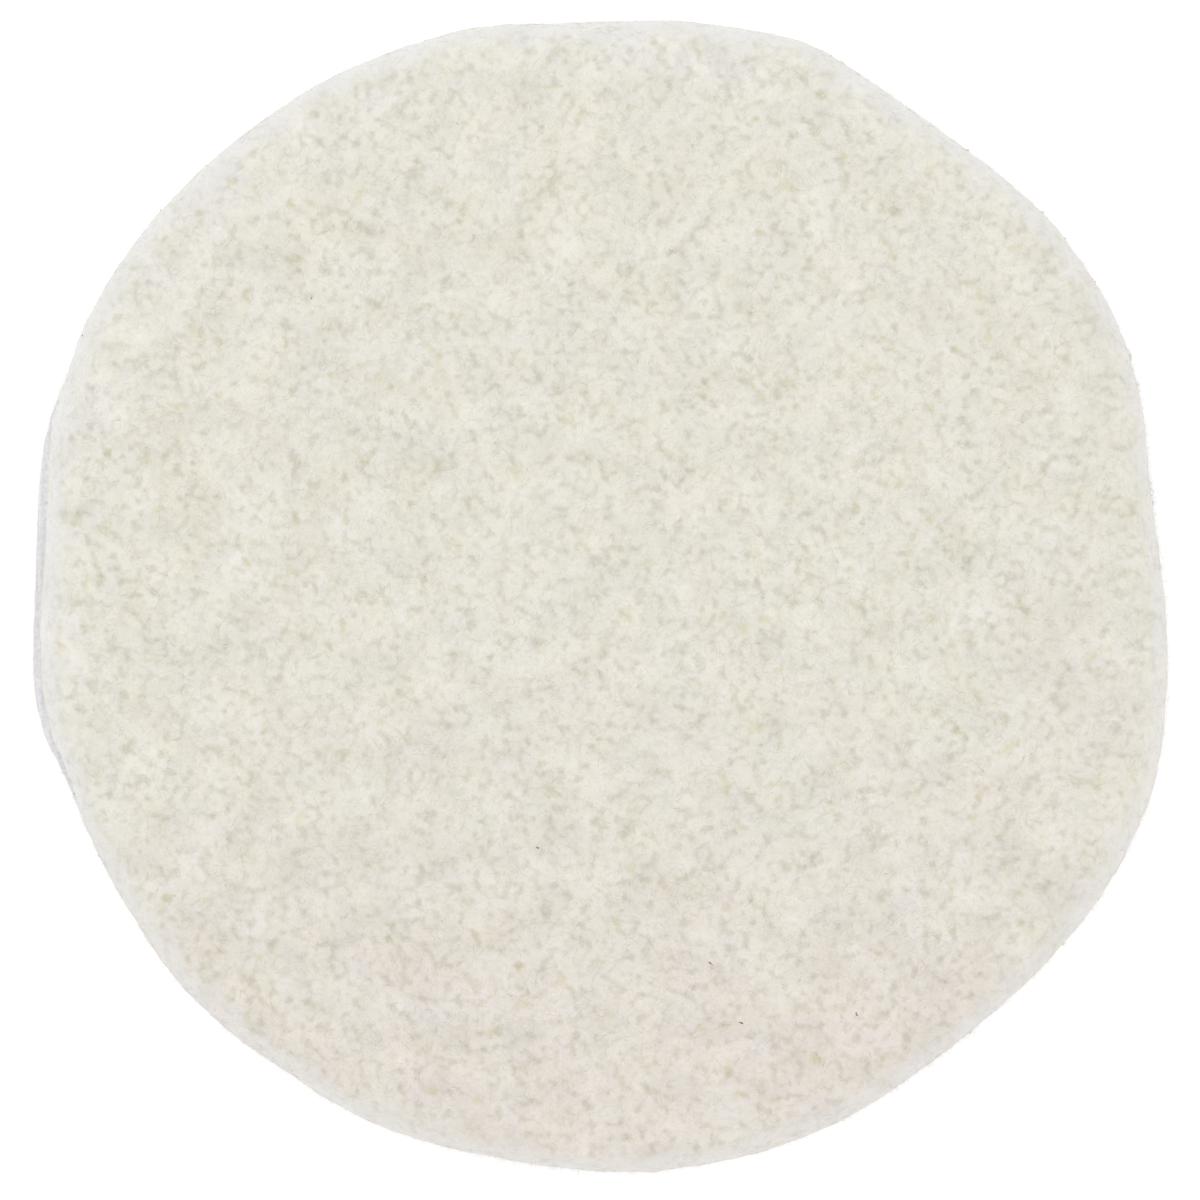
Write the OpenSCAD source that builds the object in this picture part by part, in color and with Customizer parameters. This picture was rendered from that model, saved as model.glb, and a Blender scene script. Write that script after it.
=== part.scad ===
// Polishing pad: a thick disc of needled felt on a loop backing that grips a hook-faced plate.
// The origin lies on the loops at the spin axis, and +Z points out of the working face.

/* [Disc] */
// Diameter of the disc before its edge was trimmed by hand
disc_d = 132.2; // [80:0.1:200]
// Points along the trimmed edge
edge_points = 144; // [72:8:200]

/* [Felt] */
// Thickness of the working batt, above the scrim
face_felt_h = 4; // [4:0.1:12]
// Thickness of the base batt, under the scrim
base_felt_h = 4; // [2:0.1:12]
// Width of the worn shoulder round the working face
shoulder_w = 3.6; // [1:0.1:8]
// Height of the worn shoulder
shoulder_h = 3; // [1:0.1:3.4]
// Steps across the shoulder's curve
shoulder_steps = 7; // [3:1:10]

/* [Scrim] */
// Distance from one scrim yarn to the next
yarn_pitch = 5; // [3:0.5:15]
// Width of a flattened scrim yarn
yarn_w = 0.8; // [0.4:0.1:1.5]
// Thickness of a flattened scrim yarn
yarn_h = 0.3; // [0.1:0.05:0.5]

/* [Backing] */
// Thickness of the glue film
film_h = 0.2; // [0.1:0.05:0.5]
// Thickness of the knitted ground
ground_h = 0.5; // [0.3:0.05:1]
// Height of the raised loops
loop_h = 1.3; // [0.8:0.1:2.5]
// How far the backing shows past the felt on the left
left_margin = 1.4; // [0:0.1:2]
// How far the backing shows past the felt on the right
right_margin = 0.5; // [0:0.1:1]

/* [Hidden] */

disc_r = disc_d / 2;

// Heights of the layers, from the loops up
ground_z = loop_h;
film_z = ground_z + ground_h;
base_z = film_z + film_h;
seam_z = base_z + base_felt_h;
weft_z = seam_z - yarn_h;
warp_z = weft_z - yarn_h;
top_z = seam_z + face_felt_h;
shoulder_z = top_z - shoulder_h;

// Where the shears cut inside the full circle: [bearing, depth, half the angle of the cut].
// Bearings are in degrees from +X. A negative depth is a place that was left proud.
trims = [
    [5, 2.6, 26], [54, 1.2, 17], [69, -0.35, 6], [78, 0.35, 6], [92, 1.6, 18],
    [111, 0.45, 9], [126, 0.3, 16], [157, 0.45, 5], [178, 1.4, 17], [199, 0.45, 5],
    [210, 1.6, 22], [235, 0.9, 17], [259, 0.6, 18], [308, 0.9, 20], [335, -0.55, 15]
];
// Where the felt was cut short of the backing
setbacks = [[170, left_margin, 16], [190, left_margin, 22], [10, right_margin, 14]];

// The outermost yarn lies at this share of the radius
yarn_reach = 0.93;
yarn_count = floor(yarn_reach * disc_r / yarn_pitch);
// Tools that cut right through reach this far past the disc
spare = 10;

// Angle between two bearings, from -180 to 180
function apart(a, b) = (a - b + 540) % 360 - 180;
// Depth at bearing a of one smooth cut
function bite(a, cut) =
    abs(apart(a, cut[0])) < cut[2] ? cut[1] * pow(cos(90 * apart(a, cut[0]) / cut[2]), 2) : 0;
function depth(a, cuts, i = 0) = i < len(cuts) ? bite(a, cuts[i]) + depth(a, cuts, i + 1) : 0;

// Distance from the spin axis to the backing's edge, and to the felt's
function backing_r(a) = disc_r - depth(a, trims);
function felt_r(a) = backing_r(a) - depth(a, setbacks);

function bearings() = [for (i = [0:edge_points - 1]) i * 360 / edge_points];
function backing_edge() = [for (a = bearings()) backing_r(a) * [cos(a), sin(a)]];
function felt_edge() = [for (a = bearings()) felt_r(a) * [cos(a), sin(a)]];

// A flat layer of the backing
module backing_layer(z, h) {
    translate([0, 0, z]) linear_extrude(h) polygon(backing_edge());
}

// A flat layer of felt
module felt_layer(z, h) {
    translate([0, 0, z]) linear_extrude(h) polygon(felt_edge());
}

// Straight flat yarns side by side along X, right across the disc
module yarns(z) {
    for (i = [-yarn_count:yarn_count])
        translate([-disc_r - spare, i * yarn_pitch - yarn_w / 2, z])
            cube([2 * (disc_r + spare), yarn_w, yarn_h]);
}

// Working batt: its edge rises straight from the seam, then draws in over the worn shoulder
module face_felt() {
    n = edge_points;
    ring = function (z, inset) [
        for (a = bearings())
            let (r = felt_r(a) - inset)
                [r * cos(a), r * sin(a), z]
    ];
    rounded = [
        for (s = [0:shoulder_steps])
            let (t = 90 * s / shoulder_steps)
                each ring(shoulder_z + shoulder_h * sin(t), shoulder_w * (1 - cos(t)))
    ];
    points = concat(ring(seam_z, 0), rounded);
    bands = shoulder_steps + 1;
    wall = [
        for (s = [0:bands - 1], i = [0:n - 1])
            let (a = s * n + i, b = s * n + (i + 1) % n)
                each [[a, a + n, b], [b, a + n, b + n]]
    ];
    bottom = [for (i = [0:n - 1]) i];
    top = [for (i = [n - 1:-1:0]) bands * n + i];
    color("ivory") polyhedron(points, concat(wall, [bottom, top]));
}

// Scrim yarns along X, just under the seam
module scrim_weft() {
    color("whitesmoke") intersection() {
        yarns(weft_z);
        felt_layer(weft_z, yarn_h);
    }
}

// Scrim yarns along Y, under the others
module scrim_warp() {
    color("whitesmoke") intersection() {
        rotate([0, 0, 90]) yarns(warp_z);
        felt_layer(warp_z, yarn_h);
    }
}

// Base batt: the weft yarns lie in grooves in its top, and the warp yarns in channels below them
module base_felt() {
    color("linen") difference() {
        felt_layer(base_z, base_felt_h);
        yarns(weft_z);
        rotate([0, 0, 90]) yarns(warp_z);
    }
}

// Hot-melt film between the felt and the backing
module glue_film() {
    color("gainsboro") felt_layer(film_z, film_h);
}

// Knitted ground of the backing
module loop_ground() {
    color("lightgray") backing_layer(ground_z, ground_h);
}

// Raised loops of the backing, as one soft layer
module loop_pile() {
    color("silver") backing_layer(0, loop_h);
}

face_felt();
scrim_weft();
scrim_warp();
base_felt();
glue_film();
loop_ground();
loop_pile();
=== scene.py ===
import math
import bpy
import numpy as np
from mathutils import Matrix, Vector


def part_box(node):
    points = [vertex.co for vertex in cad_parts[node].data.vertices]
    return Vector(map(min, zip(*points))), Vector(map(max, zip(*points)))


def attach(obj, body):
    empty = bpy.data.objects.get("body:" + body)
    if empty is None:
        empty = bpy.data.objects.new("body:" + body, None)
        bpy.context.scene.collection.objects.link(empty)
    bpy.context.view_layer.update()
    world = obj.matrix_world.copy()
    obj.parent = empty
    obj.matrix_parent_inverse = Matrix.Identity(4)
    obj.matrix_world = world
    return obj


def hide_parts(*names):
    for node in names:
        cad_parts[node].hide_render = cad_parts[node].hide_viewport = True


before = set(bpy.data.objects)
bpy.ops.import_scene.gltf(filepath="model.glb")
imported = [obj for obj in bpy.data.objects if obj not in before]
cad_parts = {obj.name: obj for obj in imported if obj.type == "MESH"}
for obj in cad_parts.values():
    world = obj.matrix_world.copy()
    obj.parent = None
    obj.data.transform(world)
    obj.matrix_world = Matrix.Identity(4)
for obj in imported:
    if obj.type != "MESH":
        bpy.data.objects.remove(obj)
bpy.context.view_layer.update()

millimetre = 0.001
fullTurn = 2 * math.pi
touching = 0.01 * millimetre        # points closer than this in height or across count as level


# The disc's outline and layer heights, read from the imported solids

def nodePoints(node):
    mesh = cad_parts[node].data
    points = np.empty(len(mesh.vertices) * 3)
    mesh.vertices.foreach_get("co", points)
    return points.reshape(-1, 3)


def edgeRadius(points):
    # furthest point from the spin axis at each bearing, as a function of bearing
    radius, bearing = polar(points)
    bearing = np.round(np.degrees(bearing) % 360, 2)
    steps = np.unique(bearing)
    furthest = np.array([radius[bearing == step].max() for step in steps])
    outer = furthest > 0.5 * furthest.max()
    knots, values = np.radians(steps[outer]), furthest[outer]
    return lambda angle: np.interp(angle, knots, values, period=fullTurn)


def outwards(bearing):
    # the level direction away from the spin axis at each bearing
    return np.stack([np.cos(bearing), np.sin(bearing), np.zeros_like(bearing)], axis=-1)


def polar(points):
    # distance from the spin axis and bearing
    return np.hypot(points[..., 0], points[..., 1]), np.arctan2(points[..., 1], points[..., 0])


def planPoint(distance, bearing):
    return np.stack([distance * np.cos(bearing), distance * np.sin(bearing)], axis=-1)


facePoints = nodePoints("face_felt")
seamZ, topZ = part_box("face_felt")[0][2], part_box("face_felt")[1][2]
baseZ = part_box("base_felt")[0][2]
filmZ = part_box("glue_film")[0][2]
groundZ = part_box("loop_ground")[0][2]
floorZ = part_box("loop_pile")[0][2]

feltRadius = edgeRadius(facePoints[facePoints[:, 2] < seamZ + touching])
faceRadius = edgeRadius(facePoints[facePoints[:, 2] > topZ - touching])
backingRadius = edgeRadius(nodePoints("loop_pile"))
bearings = np.linspace(0, fullTurn, 721)[:-1]
shoulderWidth = float(np.median(feltRadius(bearings) - faceRadius(bearings)))
faceReach, faceTurn = polar(facePoints)
reachedFull = faceReach > feltRadius(faceTurn) - touching
shoulderZ = float(facePoints[reachedFull, 2].max())
shoulderHeight = topZ - shoulderZ
print("felt from", round(seamZ * 1000, 2), "to", round(topZ * 1000, 2), "mm, shoulder",
      round(shoulderWidth * 1000, 2), "x", round(shoulderHeight * 1000, 2), "mm")


# Smooth random fields, the same on every run

def lattice(cells, seed):
    # a repeatable random number from 0 to 1 for each whole-number cell
    mixed = np.full(cells.shape[:-1], np.uint64(seed * 0x9E3779B1 & 0xFFFFFFFF), np.uint64)
    for axis, prime in enumerate((0x8DA6B343, 0xD8163841, 0xCB1AB31F)):
        mixed ^= (cells[..., axis].astype(np.int64) * prime).astype(np.uint64) & np.uint64(0xFFFFFFFF)
        mixed = (mixed ^ (mixed >> np.uint64(15))) * np.uint64(0x2C1B3C6D) & np.uint64(0xFFFFFFFF)
    mixed = (mixed ^ (mixed >> np.uint64(12))) * np.uint64(0x297A2D39) & np.uint64(0xFFFFFFFF)
    return (mixed ^ (mixed >> np.uint64(15))).astype(float) / 0xFFFFFFFF


def turned(points, turn, tip):
    # points turned about Z, then about X
    x = points[..., 0] * math.cos(turn) - points[..., 1] * math.sin(turn)
    y = points[..., 0] * math.sin(turn) + points[..., 1] * math.cos(turn)
    z = y * math.sin(tip) + points[..., 2] * math.cos(tip)
    return np.stack([x, y * math.cos(tip) - points[..., 2] * math.sin(tip), z], axis=-1)


def latticeNoise(points, seed):
    corner = np.floor(points).astype(np.int64)
    part = points - corner
    part = part ** 3 * (part * (part * 6 - 15) + 10)
    total = np.zeros(points.shape[:-1])
    for dx in (0, 1):
        for dy in (0, 1):
            for dz in (0, 1):
                weight = np.ones(points.shape[:-1])
                for axis, step in enumerate((dx, dy, dz)):
                    weight = weight * (part[..., axis] if step else 1 - part[..., axis])
                total += weight * lattice(corner + np.array([dx, dy, dz]), seed)
    return total * 2 - 1


def field(points, size, seed):
    # smooth noise from about -1 to 1 with features about size across, from two turned grids,
    # so that neither grid shows
    first = latticeNoise(turned(points, 0.6 + seed, 0.7) / size + 137.3 * seed, seed)
    second = latticeNoise(turned(points, 1.9 + 2.3 * seed, 1.1) / size - 71.9 * seed, seed + 50)
    return (first + second) * 0.72


# Mesh builders

def makePiece(name, points, loops, starts, material):
    mesh = bpy.data.meshes.new(name)
    mesh.vertices.add(len(points))
    mesh.vertices.foreach_set("co", np.asarray(points, np.float32).ravel())
    mesh.loops.add(len(loops))
    mesh.loops.foreach_set("vertex_index", np.asarray(loops, np.int32))
    mesh.polygons.add(len(starts))
    mesh.polygons.foreach_set("loop_start", np.asarray(starts, np.int32))
    mesh.update(calc_edges=True)
    mesh.validate()
    mesh.polygons.foreach_set("use_smooth", np.full(len(mesh.polygons), True))
    mesh.materials.append(material)
    piece = bpy.data.objects.new(name, mesh)
    bpy.context.collection.objects.link(piece)
    return piece


def fromFaces(name, points, quads, triangles, material):
    quads = np.asarray(quads, np.int32).reshape(-1, 4)
    triangles = np.asarray(triangles, np.int32).reshape(-1, 3)
    loops = np.concatenate([quads.ravel(), triangles.ravel()])
    starts = np.concatenate([np.arange(len(quads)) * 4,
                             len(quads) * 4 + np.arange(len(triangles)) * 3])
    return makePiece(name, points, loops, starts, material)


def bandQuads(rings, count, first=0):
    # quads between rings of count points each, wound to face outwards as the rings go down
    ring, step = np.meshgrid(np.arange(rings - 1), np.arange(count), indexing="ij")
    a = first + ring * count + step
    b = first + ring * count + (step + 1) % count
    return np.stack([a, a + count, b + count, b], axis=-1).reshape(-1, 4)


def tubes(name, paths, radii, material, sides=3, squash=1.0):
    # one closed tube along each path: paths is (tubes, points, 3) and radii is (tubes, points).
    # A squash under 1 flattens the tubes
    count, along = paths.shape[:2]
    tangent = np.gradient(paths, axis=1)
    tangent /= np.linalg.norm(tangent, axis=2, keepdims=True) + 1e-12
    helper = np.where(np.abs(tangent[:, :1, 2:]) < 0.8, [[[0, 0, 1.0]]], [[[1.0, 0, 0]]])
    normal = np.empty_like(paths)
    last = helper[:, 0]
    for step in range(along):
        here = tangent[:, step]
        last = last - (last * here).sum(1, keepdims=True) * here
        last = last / (np.linalg.norm(last, axis=1, keepdims=True) + 1e-12)
        normal[:, step] = last
    side = np.cross(tangent, normal)
    turn = np.arange(sides) * fullTurn / sides
    around = (normal[:, :, None] * np.cos(turn)[:, None] + side[:, :, None] * np.sin(turn)[:, None])
    around[..., 2] *= squash
    points = paths[:, :, None] + around * radii[:, :, None, None]
    tube, ring, part = np.meshgrid(np.arange(count), np.arange(along - 1), np.arange(sides),
                                   indexing="ij")
    start = tube * along * sides + ring * sides
    a, b = start + part, start + (part + 1) % sides
    quads = np.stack([a, b, b + sides, a + sides], axis=-1).reshape(-1, 4)
    first = np.arange(count) * along * sides
    caps = []
    for corner in range(1, sides - 1):
        caps.append(np.stack([first, first + corner + 1, first + corner], axis=-1))
        end = first + (along - 1) * sides
        caps.append(np.stack([end, end + corner, end + corner + 1], axis=-1))
    return fromFaces(name, points.reshape(-1, 3), quads, np.concatenate(caps), material)


def squareToDisc(cells):
    # a square grid bent into a disc: even spacing and no pole. Returns share of radius and bearing
    across = np.linspace(-1, 1, cells + 1)
    a, b = np.meshgrid(across, across, indexing="ij")
    wide = np.abs(a) > np.abs(b)
    reach = np.where(wide, a, b)
    safe = np.where(reach == 0, 1, reach)
    turn = np.where(wide, math.pi / 4 * b / safe, math.pi / 2 - math.pi / 4 * a / safe)
    x, y = reach * np.cos(turn), reach * np.sin(turn)
    return np.hypot(x, y), np.arctan2(y, x)


def gridQuads(cells):
    row, column = np.meshgrid(np.arange(cells), np.arange(cells), indexing="ij")
    a = row * (cells + 1) + column
    return np.stack([a, a + cells + 1, a + cells + 2, a + 1], axis=-1).reshape(-1, 4)


def gridRim(cells):
    # the grid's border points, in order, counter-clockwise from above
    index = np.arange((cells + 1) ** 2).reshape(cells + 1, cells + 1)
    return np.concatenate([index[:-1, 0], index[-1, :-1], index[:0:-1, -1], index[0, :0:-1]])


def discToSquare(share, bearing):
    # where a point of that disc lies on the grid, from -1 to 1 both ways
    turn = (bearing + math.pi / 4) % fullTurn
    side = (turn // (math.pi / 2)).astype(int)
    along = share * (turn % (math.pi / 2) / (math.pi / 4) - 1)
    return (np.choose(side, [share, -along, -share, along]),
            np.choose(side, [along, share, -along, -share]))


def sampleGrid(grid, row, column):
    # the value between the four grid points round each place
    row = np.clip(row, 0, grid.shape[0] - 1.001)
    column = np.clip(column, 0, grid.shape[1] - 1.001)
    i, j = row.astype(int), column.astype(int)
    down, along = (row - i)[..., None], (column - j)[..., None]
    near = grid[i, j] * (1 - along) + grid[i, j + 1] * along
    far = grid[i + 1, j] * (1 - along) + grid[i + 1, j + 1] * along
    return near * (1 - down) + far * down


def gridNormals(grid):
    normals = np.cross(np.gradient(grid, axis=0), np.gradient(grid, axis=1))
    return normals / (np.linalg.norm(normals, axis=-1, keepdims=True) + 1e-15)


def onGrid(grid, normals, row, column, lift):
    # a place on a grid of points, raised by lift, and the normal there
    normal = sampleGrid(normals, row, column)
    normal /= np.linalg.norm(normal, axis=-1, keepdims=True)
    lift = np.broadcast_to(lift, normal.shape[:-1])[..., None]
    return sampleGrid(grid, row, column) + normal * lift, normal


def addLid(points, rim, level, faceUp):
    # closes a ring with rings of half as many points each, so that no triangle is a sliver
    outline = points[rim, :2]
    share, ring, stride, size = 1.0, np.asarray(rim), 1, len(points)
    added, triangles = [], []
    while len(ring) % 2 == 0 and len(ring) > 12:
        share *= 1 - 3.4 * math.pi / len(ring)
        stride *= 2
        half = len(ring) // 2
        added.append(np.column_stack([outline[::stride] * share, np.full(half, level)]))
        inner = size + np.arange(half)
        size += half
        first, middle, last = ring[::2], ring[1::2], np.roll(ring[::2], -1)
        follow = np.roll(inner, -1)
        for corners in ((first, middle, inner), (middle, follow, inner), (middle, last, follow)):
            triangles.append(np.stack(corners, axis=-1))
        ring = inner
    added.append(np.array([[0, 0, level]]))
    triangles.append(np.stack([ring, np.roll(ring, -1), np.full(len(ring), size)], axis=-1))
    faces = np.concatenate(triangles)
    return np.concatenate([points, *added]), faces if faceUp else faces[:, ::-1]


def ringSolid(name, rings, material):
    # a closed solid from rings of points given from the top down, (rings, around, 3)
    down, around = rings.shape[:2]
    last = (down - 1) * around
    points, top = addLid(rings.reshape(-1, 3), np.arange(around), rings[0, :, 2].mean(), True)
    points, bottom = addLid(points, last + np.arange(around), rings[-1, :, 2].mean(), False)
    return fromFaces(name, points, bandQuads(down, around), np.concatenate([top, bottom]), material)


# Shader helpers

def nodeGroup(name, inputs, outputs):
    tree = bpy.data.node_groups.new(name, "ShaderNodeTree")
    for label, kind, value in inputs:
        tree.interface.new_socket(name=label, in_out="INPUT", socket_type=kind).default_value = value
    for label, kind in outputs:
        tree.interface.new_socket(name=label, in_out="OUTPUT", socket_type=kind)
    return tree, tree.nodes.new("NodeGroupInput"), tree.nodes.new("NodeGroupOutput")


def addNode(tree, kind, **settings):
    node = tree.nodes.new(kind)
    for key, value in settings.items():
        setattr(node, key, value)
    return node


def setInputs(node, values):
    for label, value in values.items():
        node.inputs[label].default_value = value


def addNoise(tree, where, scale, detail, roughness):
    noise = addNode(tree, "ShaderNodeTexNoise")
    setInputs(noise, {"Scale": scale, "Detail": detail, "Roughness": roughness})
    tree.links.new(where, noise.inputs["Vector"])
    return noise.outputs["Fac"]


def addRange(tree, value, low, high, toLow=0, toHigh=1):
    node = addNode(tree, "ShaderNodeMapRange")
    tree.links.new(value, node.inputs["Value"])
    setInputs(node, {"From Min": low, "From Max": high, "To Min": toLow, "To Max": toHigh})
    return node.outputs["Result"]


def addPlace(tree):
    return addNode(tree, "ShaderNodeTexCoord").outputs["Object"]


def addMask(tree, where, scale, detail, roughness, low, high, toLow=0, toHigh=1):
    # noise of this scale, detail and roughness, with low to high spread over toLow to toHigh
    return addRange(tree, addNoise(tree, where, scale, detail, roughness), low, high, toLow, toHigh)


def addMaths(tree, operation, first, second):
    node = addNode(tree, "ShaderNodeMath", operation=operation)
    for socket, value in zip(node.inputs, (first, second)):
        if isinstance(value, (int, float)):
            socket.default_value = value
        else:
            tree.links.new(value, socket)
    return node.outputs[0]


def addProduct(tree, first, second):
    return addMaths(tree, "MULTIPLY", first, second)


def addMix(tree, blend, factor, first, second):
    node = addNode(tree, "ShaderNodeMix", data_type="RGBA", blend_type=blend)
    sockets = (node.inputs[0], node.inputs[6], node.inputs[7])
    for socket, value in zip(sockets, (factor, first, second)):
        if isinstance(value, (int, float)):
            socket.default_value = value
        elif isinstance(value, tuple):
            socket.default_value = (*value, 1)
        else:
            tree.links.new(value, socket)
    return node.outputs[2]


feltShades = {
    "green": (0.990, 1.0, 0.975),       # faint cast over most of the disc
    "pink": (0.972, 0.945, 0.948),      # faint cast towards the bottom
    "bottomShade": (0.985, 0.976, 0.98),     # painted shade: the light falls off over the bottom as a whole
    "litEdge": (1.022, 1.032, 1.057),     # painted light: paler and bluer over the outer few millimetres on the side the light comes from
    "warm": (1.0, 0.994, 0.972),
    "cool": (0.993, 0.995, 1.015),
    "oil": (0.91, 0.895, 0.76),         # small yellowed spots
    # painted shade in the pores between fibres
    "poreShade": (0.825, 0.815, 0.765),
    "clean": (0.748, 0.744, 0.742),     # the worn rim
    "clumps": ((0.885, 0.883, 0.85), (1.08, 1.08, 1.08)),
    "layers": ((0.87, 0.865, 0.84), (1.05, 1.05, 1.05)),
}

# Noise as scale, detail and roughness. Where more numbers follow, they are the part of the noise that
# is used and what it is spread over
feltPattern = {
    "patch": (60, 5, 0.74), "patchLean": (1.2, 5.0),        # the pink grows this much along X and against Y
    "pinkFrom": (0.55, 0.97),
    "warmth": (170, 3, 0.6, 0.35, 0.65),
    "clump": (200, 4, 0.74), "clumpRange": (0.25, 0.75),
    "grain": (940, 0.8, 0.5), "poreBelow": (0.24, 0.52),
    "gathered": (300, 2, 0.5, 0.62, 0.38, 0.5, 1.3),        # pores lie closer together in places
    "oil": (480, 1, 0.4, 0.66, 0.76, 0, 0.7),
    "rimMottle": (330, 4, 0.75, 0.36, 0.6, 0.45, 1.1),
    "rimCover": 0.8,                                        # how far the rim hides pores and oil
    "layers": (520, 4, 0.7, 0.3, 0.7), "layerStretch": (1, 1, 3.2),
    "turn": (0.5, 0.8, 0.9),                                # no pattern lines up with the disc's own axes
}


def makeFeltTone():
    # patches of faint colour, clumps of every size, pores with painted shade, oily spots and a cleaner rim,
    # carried over every felt piece; painted light on the rim of the side the light comes from, painted
    # shade towards the bottom
    pattern = feltPattern
    tree, given, out = nodeGroup(
        "feltTone",
        [("Base", "NodeSocketColor", (0.8, 0.8, 0.8, 1)),
         ("Patch Strength", "NodeSocketFloat", 1.0),
         ("Clump Strength", "NodeSocketFloat", 1.0),
         ("Pore Strength", "NodeSocketFloat", 1.0),
         ("Rim Strength", "NodeSocketFloat", 0.6)],
        [("Color", "NodeSocketColor"), ("Height", "NodeSocketFloat"), ("Worn", "NodeSocketFloat")])
    where = addPlace(tree)
    axes = addNode(tree, "ShaderNodeSeparateXYZ")
    tree.links.new(where, axes.inputs[0])
    aside = addProduct(tree, axes.outputs["X"], 0.8)
    across = addMaths(tree, "SUBTRACT", axes.outputs["Y"], aside)
    litSide = addRange(tree, across, -0.01, 0.05)          # painted light: the side the light comes from
    rim = addRange(tree, axes.outputs["Z"], topZ - 0.08 * millimetre, topZ - 0.8 * millimetre)
    rim = addProduct(tree, rim, given.outputs["Rim Strength"])
    # painted light: the rim shows a little more on the side the light comes from
    rim = addProduct(tree, rim, addRange(tree, litSide, 0, 1, 0.9, 1.05))
    rim = addProduct(tree, rim, addMask(tree, where, *pattern["rimMottle"]))
    reach = addNode(tree, "ShaderNodeVectorMath", operation="LENGTH")
    tree.links.new(where, reach.inputs[0])
    outer = addRange(tree, reach.outputs["Value"], 55 * millimetre, 62.5 * millimetre)
    # painted light: the outer few millimetres on the side the light comes from
    litEdge = addProduct(tree, litSide, outer)
    wall = addRange(tree, axes.outputs["Z"], shoulderZ + 1.4 * millimetre, shoulderZ - 0.8 * millimetre)
    rim = addProduct(tree, rim, addRange(tree, wall, 0, 1, 1.0, 0.35))
    layers = addNode(tree, "ShaderNodeVectorMath", operation="MULTIPLY")
    layers.inputs[1].default_value = pattern["layerStretch"]    # the fibres of the batt lie in level layers
    tree.links.new(where, layers.inputs[0])
    layered = addMask(tree, layers.outputs[0], *pattern["layers"])
    layered = addMix(tree, "MIX", layered, *feltShades["layers"])
    turn = addNode(tree, "ShaderNodeVectorRotate", rotation_type="EULER_XYZ")
    turn.inputs["Rotation"].default_value = pattern["turn"]
    tree.links.new(where, turn.inputs["Vector"])
    where = turn.outputs[0]

    rightwards, downwards = pattern["patchLean"]
    patch = addMaths(tree, "SUBTRACT", addNoise(tree, where, *pattern["patch"]),
                     addProduct(tree, axes.outputs["Y"], downwards))
    patch = addMaths(tree, "ADD", patch, addProduct(tree, axes.outputs["X"], rightwards))
    pinkness = addRange(tree, patch, *pattern["pinkFrom"])
    cast = addMix(tree, "MIX", pinkness, feltShades["green"], feltShades["pink"])
    warmth = addMask(tree, where, *pattern["warmth"])
    cast = addMix(tree, "MULTIPLY", 1.0, cast,
                  addMix(tree, "MIX", warmth, feltShades["cool"], feltShades["warm"]))
    # painted light: the lit side's outer rim made paler and bluer
    cast = addMix(tree, "MULTIPLY", litEdge, cast, feltShades["litEdge"])
    # painted shade: darker towards the bottom, where the light falls off
    lower = addRange(tree, axes.outputs["Y"], -20 * millimetre, -55 * millimetre)
    cast = addMix(tree, "MULTIPLY", lower, cast, feltShades["bottomShade"])
    cast = addMix(tree, "MULTIPLY", given.outputs["Patch Strength"], given.outputs["Base"], cast)

    clump = addNoise(tree, where, *pattern["clump"])
    clumped = addRange(tree, clump, *pattern["clumpRange"])
    clumped = addMix(tree, "MIX", clumped, *feltShades["clumps"])
    mottled = addMix(tree, "MULTIPLY", given.outputs["Clump Strength"], cast, clumped)

    grain = addNoise(tree, where, *pattern["grain"])
    solid = addRange(tree, grain, *pattern["poreBelow"])
    gathered = addMask(tree, where, *pattern["gathered"])
    cover = addMaths(tree, "SUBTRACT", 1.0, addProduct(tree, rim, pattern["rimCover"]))
    pores = addProduct(tree, given.outputs["Pore Strength"], addProduct(tree, cover, gathered))
    # painted shade: darker in the pores, where the grain is low
    shadedPores = addMix(tree, "MIX", solid, feltShades["poreShade"], (1.0, 1.0, 1.0))
    grained = addMix(tree, "MULTIPLY", pores, mottled, shadedPores)

    oily = addMask(tree, where, *pattern["oil"])
    specked = addMix(tree, "MULTIPLY", addProduct(tree, oily, cover), grained, feltShades["oil"])
    cleaned = addMix(tree, "MIX", rim, specked, feltShades["clean"])
    cleaned = addMix(tree, "MULTIPLY", wall, cleaned, layered)

    tree.links.new(cleaned, out.inputs["Color"])
    tree.links.new(addMaths(tree, "ADD", grain, clump), out.inputs["Height"])
    tree.links.new(rim, out.inputs["Worn"])
    return tree


feltTone = makeFeltTone()


def makeFibreMat():
    # fine curved ridges that cross each other, with painted shade between them: the fibres too small and
    # too many to model
    tree, given, out = nodeGroup(
        "fibreMat",
        [("Scale", "NodeSocketFloat", 420.0), ("Turns", "NodeSocketFloat", 110.0)],
        [("Height", "NodeSocketFloat"), ("Shade", "NodeSocketFloat")])
    where = addPlace(tree)
    ridges = None
    for shift in ((0, 0, 0), (0.31, 0.17, 0.05), (-0.12, 0.4, 0.09)):
        moved = addNode(tree, "ShaderNodeVectorMath", operation="ADD")
        moved.inputs[1].default_value = shift
        tree.links.new(where, moved.inputs[0])
        noise = addNode(tree, "ShaderNodeTexNoise")
        noise.inputs["Detail"].default_value = 1.5
        tree.links.new(moved.outputs[0], noise.inputs["Vector"])
        tree.links.new(given.outputs["Scale"], noise.inputs["Scale"])
        phase = addProduct(tree, noise.outputs["Fac"], given.outputs["Turns"])
        wave = addMaths(tree, "SINE", phase, 0)
        ridges = wave if ridges is None else addMaths(tree, "MAXIMUM", ridges, wave)
    ridges = addRange(tree, ridges, -0.3, 1.0)
    tree.links.new(ridges, out.inputs["Height"])
    tree.links.new(ridges, out.inputs["Shade"])
    return tree


fibreMat = makeFibreMat()


def newMaterial(name):
    material = bpy.data.materials.new(name)
    material.use_nodes = True
    tree = material.node_tree
    return material, tree, tree.nodes["Principled BSDF"]


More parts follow.
